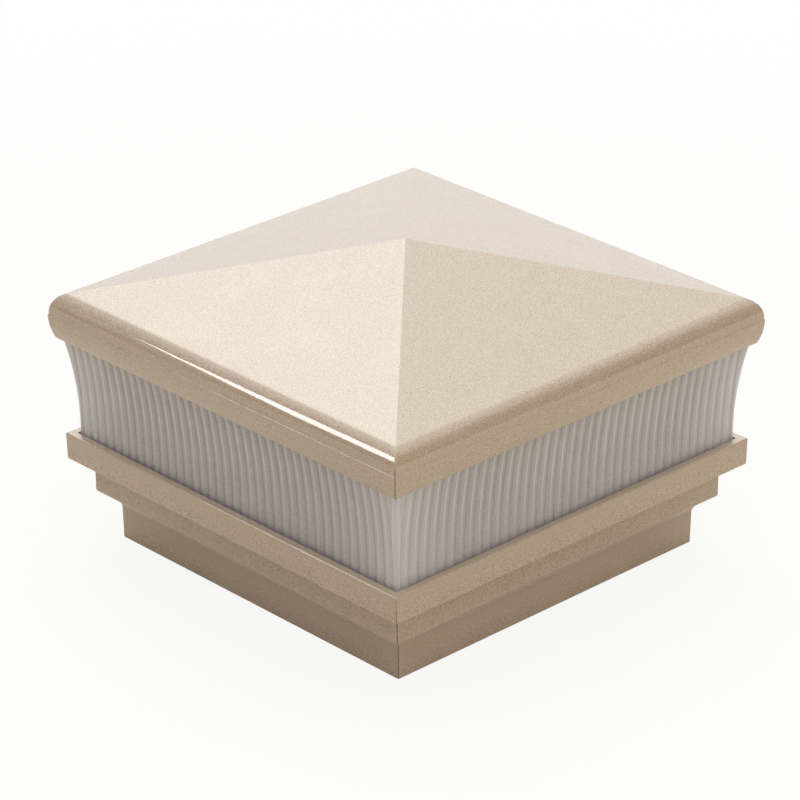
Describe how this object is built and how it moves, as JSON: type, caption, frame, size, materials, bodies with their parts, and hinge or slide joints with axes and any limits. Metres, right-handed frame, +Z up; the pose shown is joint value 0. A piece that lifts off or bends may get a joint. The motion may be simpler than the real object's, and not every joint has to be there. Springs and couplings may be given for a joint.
{
  "type": "deck post cap light",
  "caption": "Square post cap light: a painted pyramid roof over a flared, reeded, frosted lens on a stepped base that slips over a deck post, with LED board, reflector and wiring inside.",
  "frame": {"origin": "centre of the skirt's lower rim, on the plane where the light would stand on a bench", "axes": "+Z up along the post; X and Y square to the four faces; the faces seen in the picture are -Y (left) and +X (right), and the terminal block and cable inlet are on the -X side"},
  "size_m": [0.15, 0.15, 0.0992],
  "materials": {
    "painted_body": "die-cast, satin beige powder coat with a fine grain",
    "frosted_lens": "moulded acrylic, frosted inside, reeded outside, translucent",
    "black_rubber": "moulded, matt",
    "bare_aluminium": "mill finish plate",
    "thermal_silicone": "soft grey-blue silicone sheet",
    "board_white": "white solder mask on an epoxy glass board",
    "zinc_steel": "zinc plated steel",
    "led_phosphor": "white package with a yellow phosphor window",
    "chip_black": "moulded epoxy",
    "ferrite": "sintered ferrite",
    "ceramic_tan": "ceramic",
    "connector_white": "moulded nylon",
    "terminal_body": "moulded nylon, dark grey",
    "brass_cage": "turned and tapped brass",
    "red_insulation": "extruded vinyl",
    "black_insulation": "extruded vinyl",
    "reflector_white": "moulded white plastic, satin"
  },
  "bodies": {
    "base": {"base_frame": "painted_body", "lens_gasket": "black_rubber", "leg_bushes": "black_rubber", "cable_grommet": "black_rubber", "heat_spreader": "bare_aluminium", "thermal_pad": "thermal_silicone", "led_board": "board_white", "board_screws": "zinc_steel", "led_chips": "led_phosphor", "bridge_rectifier": "chip_black", "driver_chip": "chip_black", "choke": "ferrite", "capacitors": "ceramic_tan", "board_connector": "connector_white", "terminal_block": "terminal_body", "terminal_cages": "brass_cage", "terminal_screws": "zinc_steel", "lead_red": "red_insulation", "lead_black": "black_insulation"},
    "lens": {"lens_ring": "frosted_lens"},
    "roof": {"roof_cap": "painted_body", "roof_gasket": "black_rubber", "reflector": "reflector_white", "reflector_screws": "zinc_steel"}
  },
  "joints": [
    {"name": "lens_lift", "type": "slide", "parent": "base", "child": "lens", "axis": [0, 0, 1], "range_m": [0, 0.05]},
    {"name": "roof_lift", "type": "slide", "parent": "lens", "child": "roof", "axis": [0, 0, 1], "range_m": [0, 0.06]}
  ]
}
